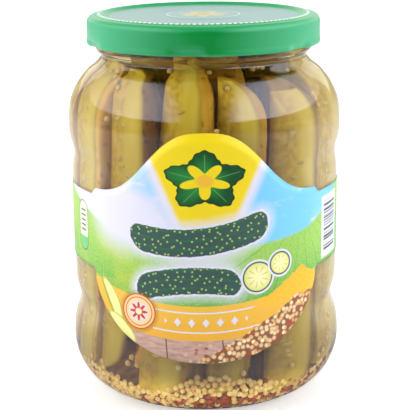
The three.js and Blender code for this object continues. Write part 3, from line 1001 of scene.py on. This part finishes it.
# studio: pale floor, soft boxes round the jar, camera as in the photograph
studio = {
    "camera": (0.0, -0.50394, 0.195), "pitch": 14.1, "roll": 0.521, "lens": 120.9,
    "floor": (0.93, 0.93, 0.93, 1), "floorInside": (0.18, 0.175, 0.15, 1),
    "veil": ((0.22, 0.22, 0.27, 1), (0.3, 0.3, 0.38, 1)), "veilNear": (0.42, 0.42, 0.52, 1),
    "room": (1, 1, 1, 1), "roomInside": (1, 0.94, 0.78, 1), "window": (0.78, 0.82, 1.0, 1),
    "windowPower": 4.3,
    "boxes": {  # place, aim, size, power, whether it is mirrored, spread
        "softBoxLeft": ((-0.75, -0.25, 0.35), (0, 0, 0.08), (0.6, 0.9), 5.8, False, 180),
        "softBoxRight": ((0.75, -0.25, 0.35), (0, 0, 0.08), (0.6, 0.9), 5.8, False, 180),
        "softBoxTop": ((0, 0.0, 0.95), (0, 0, 0.1), (0.8, 0.8), 2, False, 180),
        "softBoxLow": ((0, -0.17, 0.006), (0, -0.04, 0.008), (0.16, 0.005), 0.008, False, 8),
        "softBoxBack": ((0, 0.95, 0.46), (0, 0, 0.14), (1.6, 0.5), 2.4, True, 180),
    },
}


def softBox(name, place, aim, size, power, mirrored, spread):
    lamp = bpy.data.lights.new(name, "AREA")
    lamp.shape, lamp.size, lamp.size_y = "RECTANGLE", size[0], size[1]
    lamp.energy, lamp.spread = power, math.radians(spread)
    thing = bpy.data.objects.new(name, lamp)
    thing.visible_glossy = mirrored
    thing.visible_transmission = thing.visible_camera = False
    thing.location = place
    thing.rotation_euler = (Vector(aim) - Vector(place)).to_track_quat("-Z", "Y").to_euler()
    bpy.context.scene.collection.objects.link(thing)


def makeFloor():
    bm = bmesh.new()
    bmesh.ops.create_grid(bm, x_segments=8, y_segments=8, size=3)
    mesh = bpy.data.meshes.new("studioFloor")
    bm.to_mesh(mesh)
    bm.free()
    material, tree, place = newMaterial("studioFloorWhite")
    seen, bounced, mirrored, passed = rayKinds(tree)
    inside = passed * bounced
    x, y = axes(tree, place)[:2]
    reach = (x * x + y * y).root().high(0.001)
    side = (abs(x) / reach).step(0.4, 0.95) * reach.step(0.9, 0.8)
    veil = side.mix(*studio["veil"])
    veil = reach.step(0.17, 0.1).mix(veil, studio["veilNear"])  # kept dim where the glass mirrors it
    hidden = mirrored * (1 - bounced) * y.step(0.12, -0.06)
    colour = inside.mix(hidden.mix(studio["floor"], veil), studio["floorInside"])
    glow = seen * (y.step(0.2, 1.4) * 0.3 + 0.4) + passed * (1 - hidden) * 0.7 - inside * 0.6
    glow = glow.low(0.7).mix((0, 0, 0, 1), (1, 1, 1, 1))
    closeMaterial(tree, surface(tree, Base_Color=colour, Roughness=0.7, Emission_Color=glow,
                                Emission_Strength=1.0))
    mesh.materials.append(material)
    floor = bpy.data.objects.new("studioFloor", mesh)
    floor.location.z = -0.0002
    bpy.context.scene.collection.objects.link(floor)


def makeRoom():
    world = bpy.data.worlds.new("studioWorld")
    world.use_nodes = True
    tree = world.node_tree
    tree.nodes.clear()
    across, along, up = axes(tree, addNode(tree, "ShaderNodeTexCoord", out=0))
    seen, bounced, mirrored, passed = rayKinds(tree)
    inside = passed * bounced  # light that reaches the food through the glass
    mirrored = mirrored * (1 - bounced)
    dim = inside * 0.18 + 0.3 - mirrored * 0.22  # the room is darker on the camera's side
    level = (along - mirrored * 0.55).step(-0.95, 0.1) * (1 - dim) + dim
    power = (seen * 0.6).high(inside * 0.5).high(passed * 0.4) + 0.5  # white where it is seen
    flanks = abs(across) ** 4.0 * (1 - seen) * (inside * 0.8 + 0.8 - mirrored * 0.3)
    window = abs(across).step(0.26, 0.5) * along.step(0.95, -0.5)  # soft boxes that the shoulder mirrors
    window = window * (up - along * 0.04).step(0.23, 0.29) * up.step(0.985, 0.96)
    window = window * mirrored * (1 - passed) * (across.step(-0.3, 0.4) * 0.4 + 1.0)
    tint = window.mix(inside.mix(studio["room"], studio["roomInside"]), studio["window"])
    light = addNode(tree, "ShaderNodeBackground", None,
                    {"Color": tint, "Strength": level * power + flanks + window * studio["windowPower"]})
    addNode(tree, "ShaderNodeOutputWorld", None, [light])
    bpy.context.scene.world = world


def makeCamera():
    scene = bpy.context.scene
    lens = bpy.data.cameras.new("camera")
    lens.lens, lens.sensor_width = studio["lens"], 36
    lens.clip_start, lens.clip_end = 0.01, 20
    eye = bpy.data.objects.new("camera", lens)
    tilt = Matrix.Rotation(math.radians(90 - studio["pitch"]), 4, "X")
    roll = Matrix.Rotation(math.radians(-studio["roll"]), 4, "Z")
    eye.matrix_world = Matrix.Translation(studio["camera"]) @ tilt @ roll
    scene.collection.objects.link(eye)
    scene.camera = eye
    scene.view_settings.view_transform = "Standard"
    scene.cycles.max_bounces = 24
    scene.cycles.transmission_bounces = 20
    scene.cycles.transparent_max_bounces = 24
    scene.cycles.use_denoising = True


makeFloor()
for boxName, box in studio["boxes"].items():
    softBox(boxName, *box)
makeRoom()
makeCamera()
print("studio set")
